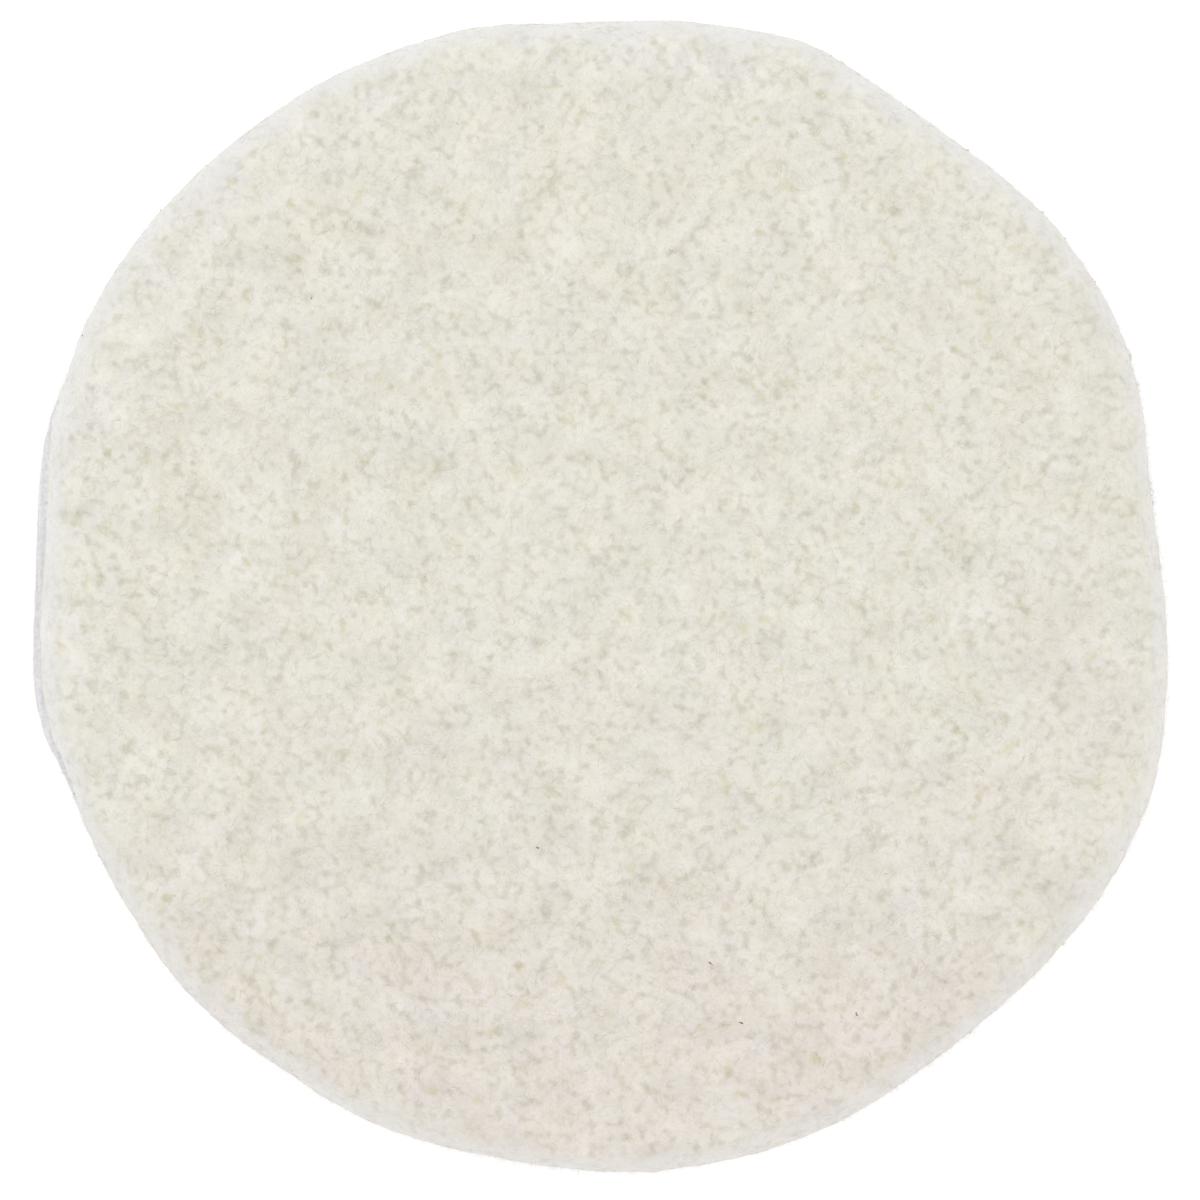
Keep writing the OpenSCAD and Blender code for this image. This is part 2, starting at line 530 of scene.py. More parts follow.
def addBump(tree, shader, height, strength, depth):
    bump = addNode(tree, "ShaderNodeBump")
    setInputs(bump, {"Strength": strength, "Distance": depth})
    tree.links.new(height, bump.inputs["Height"])
    tree.links.new(bump.outputs["Normal"], shader.inputs["Normal"])


def mottledMaterial(name, look):
    # two shades in patches, each with its own roughness, and a bump if the look has one
    material, tree, shader = newMaterial(name)
    where = addPlace(tree)
    patch = addMask(tree, where, *look["patches"])
    tree.links.new(addMix(tree, "MIX", patch, *look["shades"]), shader.inputs["Base Color"])
    tree.links.new(addRange(tree, patch, 0, 1, *look["roughness"]), shader.inputs["Roughness"])
    shader.inputs["Sheen Weight"].default_value = look["sheen"]
    if look["bump"]:
        addBump(tree, shader, patch, look["bump"], look["bumpDepth"])
    return material


def feltMaterial(name, look):
    material, tree, shader = newMaterial(name)
    tone = addNode(tree, "ShaderNodeGroup", node_tree=feltTone)
    tone.inputs["Base"].default_value = (*look["colour"], 1)
    for key, label in (("patches", "Patch"), ("clumps", "Clump"), ("pores", "Pore"), ("rim", "Rim")):
        tone.inputs[label + " Strength"].default_value = look[key]
    colour = tone.outputs["Color"]
    if look.get("mat"):
        fibres = addNode(tree, "ShaderNodeGroup", node_tree=fibreMat)
        setInputs(fibres, {"Scale": look["matScale"], "Turns": look["matTurns"]})
        # painted shade between the fibres: darker where the ridges are low
        between = 1 - look["mat"]
        shade = addMix(tree, "MIX", fibres.outputs["Shade"], (between, between, between), (1.0, 1.0, 1.0))
        colour = addMix(tree, "MULTIPLY", 1.0, colour, shade)
        height = addMaths(tree, "ADD", tone.outputs["Height"],
                          addProduct(tree, fibres.outputs["Height"], look["matHeight"]))
        addBump(tree, shader, height, look["bump"], look["bumpDepth"])
    tree.links.new(colour, shader.inputs["Base Color"])
    rough = addRange(tree, tone.outputs["Worn"], 0, 1, look["roughness"], look["roughness"] - 0.12)
    tree.links.new(rough, shader.inputs["Roughness"])
    setInputs(shader, {"Specular IOR Level": 0.2, "Sheen Weight": look["sheen"], "Sheen Roughness": 0.6})
    return material


# The worked surface of the felt: flat face, worn shoulder and wall, unrolled as one disc

shoulderTurn = np.linspace(0, math.pi / 2, 200)
shoulderStep = np.hypot(np.gradient(shoulderWidth * np.sin(shoulderTurn)),
                        np.gradient(shoulderHeight * np.cos(shoulderTurn)))
shoulderRun = np.concatenate([[0], np.cumsum((shoulderStep[1:] + shoulderStep[:-1]) / 2)])
wallRun = shoulderZ - seamZ


def unrolledRadius(bearing):
    return feltRadius(bearing) - shoulderWidth + shoulderRun[-1] + wallRun


faceForm = {
    "cells": 288,                   # across the face; the rim then halves cleanly under addLid
    "sway": 0.14 * millimetre,      # slow waviness of the whole face
    "clumps": 0.08 * millimetre,
    "tufts": 0.05 * millimetre,
    "grain": 0.02 * millimetre,
    "pits": 0.07 * millimetre,      # depth of the pores between fibres
    "layers": 0.07 * millimetre,    # level layers that show in the cut wall
    "wallBulge": 0.10 * millimetre,
    "seamPinch": 0.14 * millimetre,
}


def feltRelief(points):
    clump = field(points, 4.5 * millimetre, 2)
    pit = np.clip(-field(points, 1.3 * millimetre, 5) - 0.25, 0, 1)
    return (faceForm["sway"] * field(points, 26 * millimetre, 1)
            + faceForm["clumps"] * clump
            + faceForm["tufts"] * field(points, 1.9 * millimetre, 3)
            + faceForm["grain"] * field(points, 1.1 * millimetre, 4)
            - faceForm["pits"] * pit)


def wallRelief(points):
    return (faceForm["layers"] * field(points * (1, 1, 2.6), 1.5 * millimetre, 8)
            + faceForm["layers"] * 0.6 * field(points * (1, 1, 2), 0.9 * millimetre, 9))


def feltSurface(distance, bearing):
    # a point at this distance from the axis along the unrolled surface
    edge = feltRadius(bearing)
    past = distance - (edge - shoulderWidth)
    turn = np.interp(past, shoulderRun, shoulderTurn)
    down = np.clip(past - shoulderRun[-1], 0, wallRun)
    radius = np.minimum(distance, edge - shoulderWidth) + shoulderWidth * np.sin(turn)
    z = topZ - shoulderHeight * (1 - np.cos(turn)) - down
    outward = outwards(bearing)
    normal = outward * (np.sin(turn) * shoulderHeight)[..., None]
    normal[..., 2] = np.cos(turn) * shoulderWidth
    normal /= np.linalg.norm(normal, axis=-1, keepdims=True)
    points = outward * radius[..., None]
    points[..., 2] = z
    lowered = down / wallRun
    swell = np.where(past > shoulderRun[-1],
                     faceForm["wallBulge"] * np.sin(math.pi * lowered)
                     - faceForm["seamPinch"] * lowered ** 4, 0)
    swell += wallRelief(points) * np.clip((past - shoulderRun[-1] * 0.8) / wallRun, 0, 1)
    return points + normal * (feltRelief(points) + swell)[..., None]


feltLook = {
    "colour": (0.765, 0.732, 0.684), "patches": 1.0, "clumps": 1.0, "pores": 1.0, "rim": 0.6,
    "roughness": 0.97, "sheen": 0.15, "mat": 0.05, "matScale": 420, "matTurns": 110, "matHeight": 0.25,
    "bump": 0.35, "bumpDepth": 0.1 * millimetre,
}
feltBody = feltMaterial("feltBody", feltLook)

faceShare, faceBearing = squareToDisc(faceForm["cells"])
faceGrid = feltSurface(faceShare * unrolledRadius(faceBearing), faceBearing)
faceRim = gridRim(faceForm["cells"])
faceGrid.reshape(-1, 3)[faceRim, 2] = seamZ
faceNormals = gridNormals(faceGrid)


def onFace(distance, bearing, lift=0.0):
    # a place on the working felt's own mesh, raised by lift, and the normal there
    share = np.clip(distance / unrolledRadius(bearing), 0, 0.999)
    across, up = discToSquare(share, bearing)
    cells = faceForm["cells"]
    return onGrid(faceGrid, faceNormals, (across + 1) / 2 * cells, (up + 1) / 2 * cells, lift)


def makeWorkingFelt():
    points, under = addLid(faceGrid.reshape(-1, 3), faceRim, seamZ, False)
    return fromFaces("workingFelt", points, gridQuads(faceForm["cells"]), under, feltBody)


workingFelt = makeWorkingFelt()
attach(workingFelt, "root")
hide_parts("face_felt")
print("working felt made")


# Base batt under the seam. Its top is hollowed inside the rim, so that the scrim lies clear

baseForm = {
    "around": 1152, "down": 17,
    "bulge": 0.12 * millimetre,
    "rimWidth": 1.2 * millimetre,       # how far the batts press together at the edge
    "hollowZ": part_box("scrim_warp")[0][2] - 0.05 * millimetre,
}


def baseWallGrid():
    bearing = np.linspace(0, fullTurn, baseForm["around"] + 1)
    share = np.linspace(0, 1, baseForm["down"])[:, None]
    turn, down = bearing + 0 * share, share + 0 * bearing
    radius = feltRadius(turn)
    outward = outwards(turn)
    points = outward * radius[..., None]
    points[..., 2] = seamZ + (baseZ - seamZ) * down
    swell = baseForm["bulge"] * np.sin(math.pi * down ** 0.8) - faceForm["seamPinch"] * (1 - down) ** 4
    return points + outward * (feltRelief(points) + wallRelief(points) + swell)[..., None]


baseGrid = baseWallGrid()
baseGrid[:, -1] = baseGrid[:, 0]
baseNormals = gridNormals(baseGrid)


def onBaseWall(bearing, share, lift=0.0):
    # the same on the base batt's wall, share of the way down it
    column = bearing % fullTurn / fullTurn * baseForm["around"]
    return onGrid(baseGrid, baseNormals, share * (baseForm["down"] - 1), column, lift)


def makeBaseFelt():
    wall = baseGrid[:, :-1]
    radius = np.hypot(wall[0, :, 0], wall[0, :, 1])
    inner = []
    for inset, level in ((2.2, baseForm["hollowZ"]), (1.6, baseForm["hollowZ"]), (1.0, seamZ)):
        ring = wall[0] * (1 - baseForm["rimWidth"] * inset / radius)[:, None]
        ring[:, 2] = level
        inner.append(ring)
    return ringSolid("baseFelt", np.concatenate([inner, wall]), feltBody)


baseFelt = makeBaseFelt()
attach(baseFelt, "root")
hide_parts("base_felt")
print("base felt made")


# Crimped staple fibres that lie half sunk in the felt, one piece for each fibre of the blend

def crimpedWalk(rng, count, along, length, bend):
    # plan routes of fibres as offsets from their starts: (count, along, 2)
    step = rng.uniform(0.6, 1.2, (count, 1)) * length / (along - 1)
    heading = rng.uniform(0, fullTurn, (count, 1))
    turns = np.cumsum(rng.normal(0, bend, (count, along)), axis=1)
    crimp = rng.uniform(0.2, 0.6, (count, 1)) * np.sin(
        np.arange(along) * rng.uniform(0.8, 1.8, (count, 1)) + rng.uniform(0, 6.3, (count, 1)))
    direction = heading + turns + crimp
    moves = planPoint(step, direction)
    moves[:, 0] = 0
    return np.cumsum(moves, axis=1)


def weaveOf(rng, count, along, blend):
    wave = np.sin(np.arange(along) * rng.uniform(0.7, 1.6, (count, 1)) + rng.uniform(0, 6.3, (count, 1)))
    lift = blend["lift"] + blend["weave"] * wave
    lift[:, [0, -1]] = -blend["radius"] - blend["weave"]        # the ends dive into the felt
    return lift


def fibreRadii(rng, count, along, blend):
    radii = blend["radius"] * rng.uniform(0.75, 1.25, (count, 1)) * np.ones((count, along))
    radii[:, [0, -1]] *= 0.6
    return radii


def facePlan(rng, blend, bearing):
    # places along each fibre on the face, as distance along the unrolled surface and bearing
    distance = np.sqrt(rng.uniform(0, 1, len(bearing))) * unrolledRadius(bearing)
    walk = crimpedWalk(rng, len(bearing), blend["points"], blend["length"], blend["bend"])
    return polar(planPoint(distance, bearing)[:, None] + walk)


def wallPlan(rng, blend, bearing):
    # the same on the base batt's wall, as bearing and share of the way down
    walk = crimpedWalk(rng, len(bearing), blend["points"], blend["length"], blend["bend"])
    turn = bearing[:, None] + walk[..., 0] / feltRadius(bearing)[:, None]
    share = rng.uniform(0, 1, (len(bearing), 1)) + walk[..., 1] * blend["slant"] / (seamZ - baseZ)
    return turn, np.clip(1 - np.abs(1 - np.abs(share)), 0.01, 0.99)     # turned back at both edges


def layFibres(name, blend, material, plan, onSurface):
    rng = np.random.default_rng(blend["seed"])
    count, along = blend["count"], blend["points"]
    places = plan(rng, blend, rng.uniform(0, fullTurn, count))
    paths, _ = onSurface(*places, weaveOf(rng, count, along, blend))
    return tubes(name, paths, fibreRadii(rng, count, along, blend), material)


fibreLook = {
    "colour": (0.785, 0.753, 0.705), "patches": 1.0, "clumps": 1.0, "pores": 0.8, "rim": 0.6,
    "roughness": 0.85, "sheen": 0.2,
}
creamFibre = feltMaterial("creamFibre", fibreLook)
whiteFibre = feltMaterial("whiteFibre", {**fibreLook, "colour": (0.825, 0.80, 0.757)})
strawFibre = feltMaterial("strawFibre", {**fibreLook, "colour": (0.765, 0.73, 0.655)})

blendCommon = {
    "count": 6000, "points": 6, "length": 3.4 * millimetre, "bend": 0.35,
    "lift": -0.006 * millimetre, "weave": 0.012 * millimetre, "radius": 0.018 * millimetre,
}
for fibreName, fibreMaterial, changes in (
        ("creamFibresA", creamFibre, {"seed": 11}),
        ("creamFibresB", creamFibre, {"seed": 12, "length": 2.8 * millimetre}),
        ("creamFibresC", creamFibre, {"seed": 13, "bend": 0.5}),
        ("creamFibresD", creamFibre, {"seed": 16, "length": 4 * millimetre}),
        ("whiteFibres", whiteFibre, {"seed": 14}),
        ("strawFibres", strawFibre, {"seed": 15, "count": 3000, "radius": 0.016 * millimetre})):
    piece = layFibres(fibreName, {**blendCommon, **changes}, fibreMaterial, facePlan, onFace)
    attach(piece, "root")
wallBlend = {**blendCommon, "seed": 17, "count": 4600, "length": 2.8 * millimetre, "slant": 0.45}
piece = layFibres("wallFibres", wallBlend, creamFibre, wallPlan, onBaseWall)
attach(piece, "root")
print("laid fibres made")


# Loose ends that stand off the felt: cut ends round the wall and a few over the face

fuzzLook = {
    "seed": 18, "points": 5, "radius": 0.014 * millimetre,
    "onFace": 1500, "onShoulder": 1700, "onWall": 1500,
    "faceLength": 0.45 * millimetre, "edgeLength": 0.7 * millimetre,
}


def standing(rng, roots, normals, length, points):
    # curved paths that leave the surface at a slant and curl
    count = len(roots)
    stray = rng.normal(0, 1, (count, 3))
    tangent = stray - (stray * normals).sum(1, keepdims=True) * normals
    tangent /= np.linalg.norm(tangent, axis=1, keepdims=True)
    rise = rng.uniform(0.25, 1.0, (count, 1))
    curl = rng.normal(0, 0.45, (count, 3))
    reach = (length * rng.uniform(0.3, 1.3, (count, 1)) ** 1.5)[:, None]
    along = np.linspace(0, 1, points)[None, :, None]
    direction = (normals * rise + tangent * np.sqrt(1 - 0.8 * rise ** 2))[:, None]
    sunk = roots - normals * 0.03 * millimetre
    return sunk[:, None] + reach * (direction * along + curl[:, None] * along ** 2)


def makeFuzz():
    rng = np.random.default_rng(fuzzLook["seed"])
    bearing = rng.uniform(0, fullTurn, fuzzLook["onFace"])
    distance = np.sqrt(rng.uniform(0, 1, len(bearing))) * (unrolledRadius(bearing) - wallRun)
    points = fuzzLook["points"]
    paths = [standing(rng, *onFace(distance, bearing), fuzzLook["faceLength"], points)]
    bearing = rng.uniform(0, fullTurn, fuzzLook["onShoulder"])
    distance = unrolledRadius(bearing) - rng.uniform(0, 3, len(bearing)) * wallRun
    paths.append(standing(rng, *onFace(distance, bearing), fuzzLook["edgeLength"], points))
    bearing = rng.uniform(0, fullTurn, fuzzLook["onWall"])
    share = rng.uniform(0.02, 0.98, len(bearing))
    paths.append(standing(rng, *onBaseWall(bearing, share), fuzzLook["edgeLength"], points))
    paths = np.concatenate(paths)
    radii = fuzzLook["radius"] * np.linspace(1, 0.5, points) * np.ones((len(paths), 1))
    piece = tubes("looseFuzz", paths, radii, whiteFibre)
    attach(piece, "root")


makeFuzz()
print("loose ends made")


# Bits of seed husk and dirt caught in the felt

fleckLook = {
    "places": [                         # where each lies, to the nearest mm, and its length in mm
        ((12, -42), 0.9), ((-7, -29), 0.6), ((29, -48), 0.5), ((16, -49), 0.5), ((-33, 33), 0.5),
        ((-60, -23), 0.4), ((-57, -30), 0.4), ((-59, 29), 0.4), ((-64, 10), 0.4),
    ],
    "seed": 19, "points": 6, "bend": 0.25,
    "radius": 0.11 * millimetre, "squash": 0.3, "lift": -0.012 * millimetre,
    "patches": (2500, 2, 0.6, 0.35, 0.65), "shades": ((0.10, 0.085, 0.075), (0.30, 0.26, 0.20)),
    "roughness": (0.8, 0.55), "sheen": 0, "bump": 0.4, "bumpDepth": 0.02 * millimetre,
}


def makeFlecks():
    rng = np.random.default_rng(fleckLook["seed"])
    along = fleckLook["points"]
    paths = []
    for (x, y), length in fleckLook["places"]:
        bearing = math.atan2(y, x)
        past = math.hypot(x, y) * millimetre - (float(feltRadius(bearing)) - shoulderWidth)
        turn = math.asin(min(max(past / shoulderWidth, 0), 1))
        distance = (float(feltRadius(bearing)) - shoulderWidth + min(past, 0)
                    + float(np.interp(turn, shoulderTurn, shoulderRun)))
        start = distance * np.array([math.cos(bearing), math.sin(bearing)])
        plan = start + crimpedWalk(rng, 1, along, length * millimetre, fleckLook["bend"])[0]
        paths.append(onFace(*polar(plan), fleckLook["lift"])[0])
    paths = np.array(paths)
    taper = np.sin(np.linspace(0.35, math.pi - 0.35, along))
    radii = fleckLook["radius"] * taper * rng.uniform(0.7, 1.3, (len(paths), along))
    husk = mottledMaterial("plantHusk", fleckLook)
    piece = tubes("plantFlecks", paths, radii, husk, sides=6, squash=fleckLook["squash"])
    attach(piece, "root")


makeFlecks()
print("flecks made")


# Scrim between the batts: each yarn is a flat bundle of filaments, cut off with the felt

scrimForm = {
    "filaments": 7, "seed": 20, "stations": 40, "twist": 260.0,    # turn in radians per metre
    "pastEdge": (-0.12 * millimetre, 0.1 * millimetre), "stray": 0.02 * millimetre,
    "patches": (900, 2, 0.6, 0.3, 0.7), "shades": ((0.70, 0.69, 0.66), (0.82, 0.815, 0.80)),
    "roughness": (0.42, 0.6), "sheen": 0, "bump": 0.2, "bumpDepth": 0.02 * millimetre,
}


def yarnRuns(node, across):
    # each yarn of a scrim node: its place across, its two ends and its lowest and highest level
    points = nodePoints(node)
    places = np.unique(np.round(points[:, across], 5))
    for group in np.split(places, np.flatnonzero(np.diff(places) > 1.5 * millimetre) + 1):
        mine = points[(points[:, across] > group[0] - touching)
                      & (points[:, across] < group[-1] + touching)]
        yield (group[0] + group[-1]) / 2, group[-1] - group[0], mine.min(axis=0), mine.max(axis=0)


scrimYarn = mottledMaterial("scrimYarn", scrimForm)


def cutEnd(place, across, sign):
    # where a filament at this place across its run meets the felt's edge
    reach = sign * np.sqrt(float(feltRadius(0.0)) ** 2 - place ** 2)
    for _ in range(6):
        x, y = (reach, place) if across == 1 else (place, reach)
        reach = sign * np.sqrt(feltRadius(np.arctan2(y, x)) ** 2 - place ** 2)
    return reach


def makeScrim(name, node, across):
    rng = np.random.default_rng(scrimForm["seed"] + across)
    run, count, stations = 1 - across, scrimForm["filaments"], scrimForm["stations"]
    seat = np.where(np.arange(count) == 0, 0, 0.66)[:, None]
    first = np.arange(count)[:, None] * fullTurn / (count - 1)
    share = (1 - np.cos(np.linspace(0, math.pi, stations))) / 2
    paths = []
    for centre, width, low, high in yarnRuns(node, across):
        radius = (high[2] - low[2]) * 0.2
        side = centre + seat[:, 0] * (width / 2 - radius) * np.cos(first[:, 0])
        past = rng.uniform(*scrimForm["pastEdge"], (2, count))
        start, end = cutEnd(side, across, -1) - past[0], cutEnd(side, across, 1) + past[1]
        reach = start[:, None] + (end - start)[:, None] * share
        turn = first + scrimForm["twist"] * (reach - start[:, None])
        path = np.empty((count, stations, 3))
        path[..., run] = reach
        path[..., across] = centre + seat * (width / 2 - radius) * np.cos(turn)
        path[..., 2] = (low[2] + high[2]) / 2 + seat * ((high[2] - low[2]) / 2 - radius) * np.sin(turn)
        path[..., across] += rng.normal(0, scrimForm["stray"], (count, stations))
        paths.append(path)
    paths = np.concatenate(paths)
    piece = tubes(name, paths, np.full(paths.shape[:2], radius), scrimYarn, sides=4)
    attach(piece, "root")
    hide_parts(node)


makeScrim("weftYarns", "scrim_weft", 1)
makeScrim("warpYarns", "scrim_warp", 0)
print("scrim made")


# Glue film, squeezed out a little past the felt

filmForm = {
    "around": 1152, "squeeze": 0.16 * millimetre, "wander": 0.12 * millimetre,
    "bead": 0.06 * millimetre,
    "patches": (700, 3, 0.6, 0.3, 0.7), "shades": ((0.72, 0.715, 0.70), (0.80, 0.798, 0.79)),
    "roughness": (0.35, 0.55), "sheen": 0, "bump": 0.25, "bumpDepth": 0.05 * millimetre,
}


def makeFilm():
    bearing = np.arange(filmForm["around"]) * fullTurn / filmForm["around"]
    outward = outwards(bearing)
    edge = outward * feltRadius(bearing)[:, None]
    out = filmForm["squeeze"] + filmForm["wander"] * (
        field(edge, 1.6 * millimetre, 41) + field(edge, 0.7 * millimetre, 42) * 0.6)
    middle, half, bead = (baseZ + filmZ) / 2, (baseZ - filmZ) / 2, filmForm["bead"]
    profile = (                     # inset from the squeezed edge and height over the film's middle
        (3.0 * millimetre, half), (0.7 * millimetre, half), (0.25 * millimetre, half + bead),
        (0.06 * millimetre, half * 0.7), (0, 0), (0.02 * millimetre, -half),
        (0.3 * millimetre, -half - bead), (3.0 * millimetre, -half))
    rings = []
    for inset, height in profile:
        ring = outward * (feltRadius(bearing) + out - inset)[:, None]
        ring[:, 2] = middle + height
        rings.append(ring)
    return ringSolid("glueFilm", np.array(rings), mottledMaterial("glueFilm", filmForm))


glueFilm = makeFilm()
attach(glueFilm, "root")
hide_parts("glue_film")
print("glue film made")


# Knitted ground of the backing

knitForm = {
    "cells": 288, "wale": 1.5 * millimetre, "course": 1.9 * millimetre, "depth": 0.08 * millimetre,
    "topRings": (0, 0.25, 0.55, 0.9, 1.3, 1.8, 2.4),    # insets of the top's rings from the edge, in mm
    "topRough": 0.03 * millimetre, "edgeWander": 0.06 * millimetre,
    "patches": (300, 3, 0.6, 0.3, 0.7), "shades": ((0.79, 0.779, 0.805), (0.868, 0.857, 0.888)),
    "waleScale": 330, "waleShades": ((0.94, 0.94, 0.945), (1.0, 1.0, 1.0)),
    "threads": (2600, 3, 0.7), "threadRange": (0.34, 0.6),
    "threadShades": ((0.88, 0.88, 0.885), (1.03, 1.03, 1.03)),
    "roughness": (0.85, 0.7), "sheen": 0.1, "bump": 0.4, "bumpDepth": 0.08 * millimetre,
}


def knitMaterial():
    look = knitForm
    material, tree, shader = newMaterial("backingKnit")
    where = addPlace(tree)
    patch = addMask(tree, where, *look["patches"])
    colour = addMix(tree, "MIX", patch, *look["shades"])
    wale = addNode(tree, "ShaderNodeTexWave", wave_type="BANDS", bands_direction="X")
    setInputs(wale, {"Scale": look["waleScale"], "Distortion": 0.6})
    tree.links.new(where, wale.inputs["Vector"])
    shade = addMix(tree, "MIX", wale.outputs["Fac"], *look["waleShades"])
    cloth = addNoise(tree, where, *look["threads"])
    thread = addRange(tree, cloth, *look["threadRange"])
    shade = addMix(tree, "MULTIPLY", 1.0, shade, addMix(tree, "MIX", thread, *look["threadShades"]))
    tree.links.new(addMix(tree, "MULTIPLY", 1.0, colour, shade), shader.inputs["Base Color"])
    tree.links.new(addRange(tree, patch, 0, 1, *look["roughness"]), shader.inputs["Roughness"])
    shader.inputs["Sheen Weight"].default_value = look["sheen"]
    height = addMaths(tree, "ADD", cloth, wale.outputs["Fac"])
    addBump(tree, shader, height, look["bump"], look["bumpDepth"])
    return material


knit = knitMaterial()


def makeGround():
    cells = knitForm["cells"]
    share, bearing = squareToDisc(cells)
    radius = share * backingRadius(bearing)
    x, y = radius * np.cos(bearing), radius * np.sin(bearing)
    wale = np.abs(np.sin(math.pi * x / knitForm["wale"]))
    course = np.sin(fullTurn * y / knitForm["course"] + 2 * wale)
    low = np.stack([x, y, groundZ + knitForm["depth"] * (wale + 0.4 * course)], axis=-1).reshape(-1, 3)
    rim = gridRim(cells)
    turn = bearing.ravel()[rim]
    outward = outwards(turn)
    wander = field(outward * 0.066, 1.1 * millimetre, 43) * knitForm["edgeWander"]
    low[rim, :2] += (outward * wander[:, None])[:, :2]
    rings = []
    for inset in knitForm["topRings"]:
        ring = outward * (backingRadius(turn) + wander - inset * millimetre)[:, None]
        ring[:, 2] = filmZ + knitForm["topRough"] * field(ring, 0.9 * millimetre, 21)
        rings.append(ring)
    count, size = len(rim), len(low)
    points = np.concatenate([low, *rings])
    above = bandQuads(len(rings), count, size)[:, ::-1]
    step = np.arange(count)
    follow = (step + 1) % count
    side = np.stack([size + step, rim, rim[follow], size + follow], axis=-1)
    innermost = size + (len(rings) - 1) * count + step
    points, lid = addLid(points, innermost, filmZ - 0.02 * millimetre, True)
    return fromFaces("backingGround", points,
                     np.concatenate([gridQuads(cells)[:, ::-1], above, side]), lid, knit)


backingGround = makeGround()
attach(backingGround, "root")
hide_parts("loop_ground")
span = 2 * float(backingRadius(bearings).mean())
cutArea = float((backingRadius(bearings) ** 2).mean() * math.pi)
print("backing ground made")


# Raised loops of the backing, and the ends frayed out where it was cut

loopLook = {
    "patches": (500, 2, 0.5, 0.3, 0.7), "shades": ((0.76, 0.765, 0.78), (0.86, 0.86, 0.865)),
    "roughness": (0.48, 0.62), "sheen": 0.1, "bump": 0,
}
loopYarn = mottledMaterial("loopYarn", loopLook)
pileCommon = {
    "count": 3900, "points": 7, "width": 0.8 * millimetre, "radius": 0.045 * millimetre,
    "inner": 0, "inset": 0.2 * millimetre, "lean": (0.35 * millimetre, 0.15 * millimetre),
    "stray": 0.25 * millimetre, "kink": 0.05 * millimetre, "rooted": 0.06 * millimetre,
}


def makeLoops(name, pile):
    rng = np.random.default_rng(pile["seed"])
    count, along = pile["count"], pile["points"]
    bearing = rng.uniform(0, fullTurn, count)
    reach = backingRadius(bearing) - pile["inset"]
    share = np.sqrt(rng.uniform(pile["inner"] ** 2, 1, count))
    foot = planPoint(share * reach, bearing)
    across = rng.uniform(0, fullTurn, count)
    width = pile["width"] * rng.uniform(0.6, 1.3, count)
    drop = (groundZ - floorZ) * rng.uniform(0.5, 0.97, count) - pile["radius"]
    lean = np.array(pile["lean"]) + rng.normal(0, pile["stray"], (count, 2))
    turn = np.linspace(0, math.pi, along)
    swing = -np.cos(turn) / 2
    fall = np.sin(turn) ** 0.75
    paths = np.empty((count, along, 3))
    paths[..., 0] = foot[:, :1] + (np.cos(across) * width)[:, None] * swing + lean[:, :1] * fall
    paths[..., 1] = foot[:, 1:] + (np.sin(across) * width)[:, None] * swing + lean[:, 1:] * fall
    paths[..., 2] = groundZ + pile["rooted"] - drop[:, None] * fall
    paths[:, 1:-1] += rng.normal(0, pile["kink"], (count, along - 2, 3))
    paths[..., 2] = np.maximum(paths[..., 2], floorZ + pile["radius"])
    radii = pile["radius"] * rng.uniform(0.8, 1.2, (count, 1)) * np.ones((count, along))
    piece = tubes(name, paths, radii, loopYarn)
    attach(piece, "root")
    return piece


loopPieces = [makeLoops(f"backingLoops{letter}", {**pileCommon, "seed": seed})
              for letter, seed in (("A", 31), ("B", 32), ("C", 33))]
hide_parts("loop_pile")
makeLoops("backingLoopsEdge", {**pileCommon, "seed": 35, "inner": 0.962, "radius": 0.032 * millimetre,
                               "width": 0.65 * millimetre, "inset": 0.1 * millimetre})
print("backing loops made")

frayLook = {
    "seed": 34, "onEdge": 2600, "onStrip": 1800, "points": 4,
    "length": 0.42 * millimetre, "radius": 0.017 * millimetre,
}


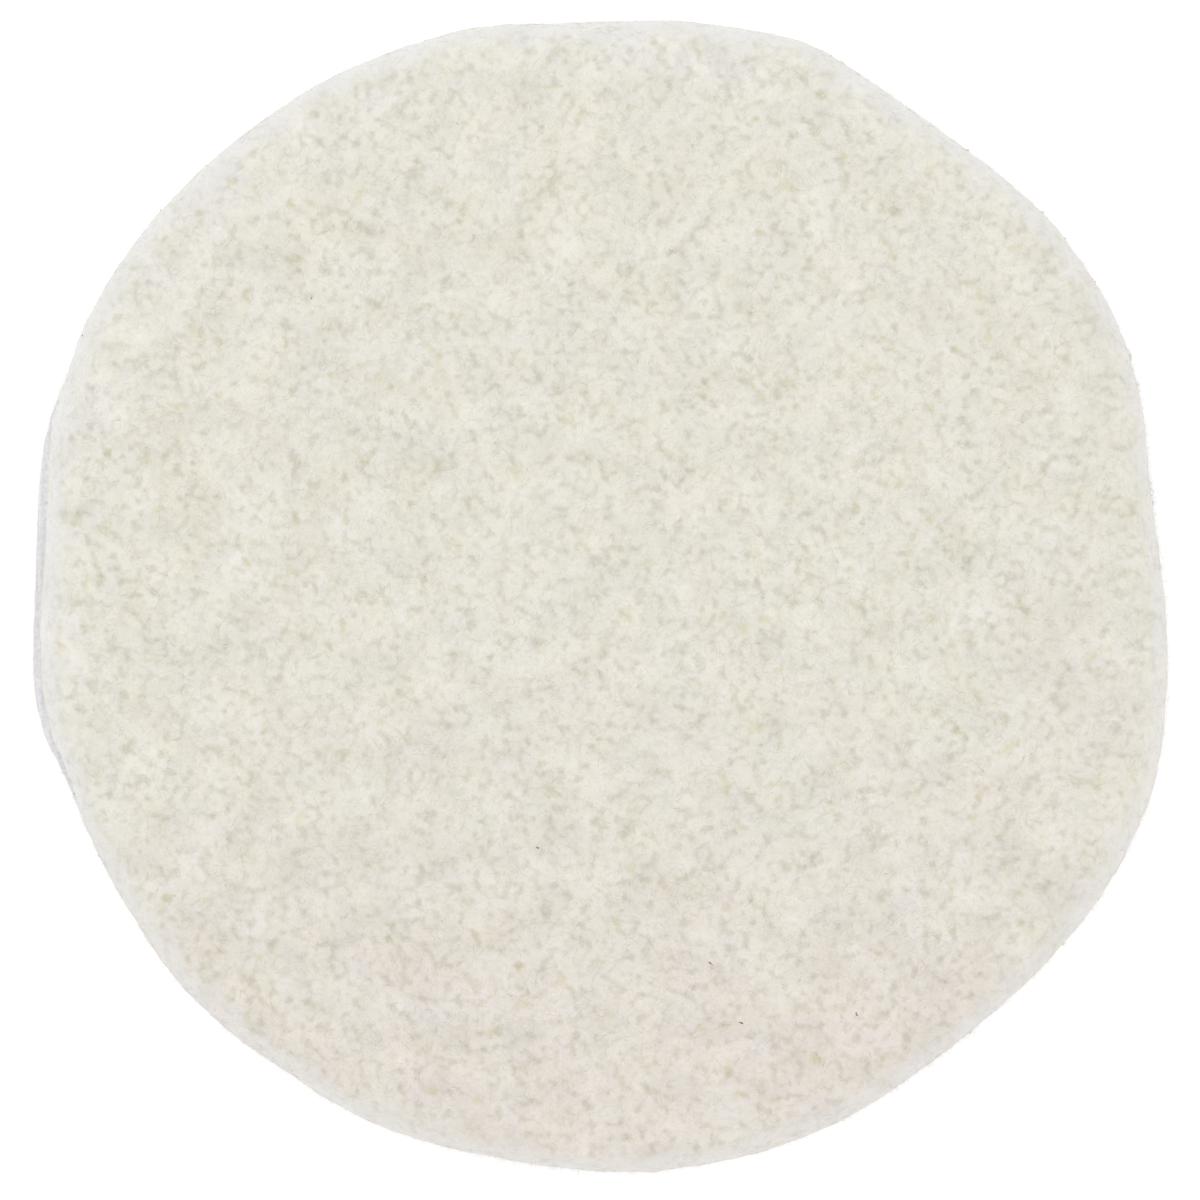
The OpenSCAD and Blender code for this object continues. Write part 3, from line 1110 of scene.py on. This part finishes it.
def makeFray():
    # ends that stick out of the cut edge, and fine fibres that stand on the strip the felt leaves bare
    rng = np.random.default_rng(frayLook["seed"])
    bearing = rng.uniform(0, fullTurn, frayLook["onEdge"] + frayLook["onStrip"])
    onEdge = np.arange(len(bearing)) < frayLook["onEdge"]
    outward = outwards(bearing)
    inset = np.where(onEdge, 0.03 * millimetre, rng.uniform(0.1, 1.5, len(bearing)) * millimetre)
    roots = outward * (backingRadius(bearing) - inset)[:, None]
    roots[:, 2] = np.where(onEdge, rng.uniform(groundZ, filmZ, len(bearing)), filmZ)
    normals = np.where(onEdge[:, None], outward, [[0.0, 0.0, 1.0]])
    bare = onEdge | (backingRadius(bearing) - inset > feltRadius(bearing) + 0.1 * millimetre)
    paths = standing(rng, roots[bare], normals[bare], frayLook["length"], frayLook["points"])
    radii = frayLook["radius"] * np.linspace(1, 0.6, frayLook["points"]) * np.ones((len(paths), 1))
    piece = tubes("backingFray", paths, radii, loopYarn)
    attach(piece, "root")


makeFray()
print("backing fray made")


# Floor, light and camera

studioLook = {
    "floorSize": 12,
    "floor": {
        "Base Color": (0.94, 0.94, 0.94, 1), "Roughness": 0.9, "Specular IOR Level": 0.1,
        "Emission Color": (1, 1, 1, 1),
        "Emission Strength": 0.22,      # lit from below, as a light table is
    },
    "surround": {"Color": (1, 1, 1, 1), "Strength": 1.0},
    "lamps": (                  # name, place, size and watts
        ("keyLight", (-0.55, 0.65, 0.85), 0.9, 1.82),
        ("fillLight", (0.7, -0.5, 0.8), 0.9, 0.72)),
}


def makeFloor():
    bpy.ops.mesh.primitive_plane_add(size=studioLook["floorSize"], location=(0, 0, floorZ))
    floor = bpy.context.object
    floor.name = "floor"
    material, tree, shader = newMaterial("paleFloor")
    setInputs(shader, studioLook["floor"])
    floor.data.materials.append(material)


def softbox(name, place, size, watts):
    lamp = bpy.data.lights.new(name, "AREA")
    lamp.size = size
    lamp.energy = watts
    holder = bpy.data.objects.new(name, lamp)
    holder.location = place
    aim = -holder.location.normalized()
    holder.rotation_euler = aim.to_track_quat("-Z", "Y").to_euler()
    bpy.context.collection.objects.link(holder)


def makeStudio():
    world = bpy.data.worlds.new("studio")
    bpy.context.scene.world = world
    world.use_nodes = True
    setInputs(world.node_tree.nodes["Background"], studioLook["surround"])
    for lamp in studioLook["lamps"]:
        softbox(*lamp)
    bpy.context.scene.view_settings.view_transform = "Standard"


view = {
    "frameWidth": 135.8 * millimetre,   # what the picture takes in at the face
    "distance": 0.8,
    "aim": (-0.2 * millimetre, -1.0 * millimetre),
}


def makeCamera():
    lens = bpy.data.cameras.new("camera")
    lens.sensor_width = 36
    lens.lens = lens.sensor_width * view["distance"] / view["frameWidth"]
    lens.clip_start, lens.clip_end = 0.01, 20
    camera = bpy.data.objects.new("camera", lens)
    camera.location = (*view["aim"], topZ + view["distance"])
    bpy.context.collection.objects.link(camera)
    bpy.context.scene.camera = camera


makeFloor()
makeStudio()
makeCamera()
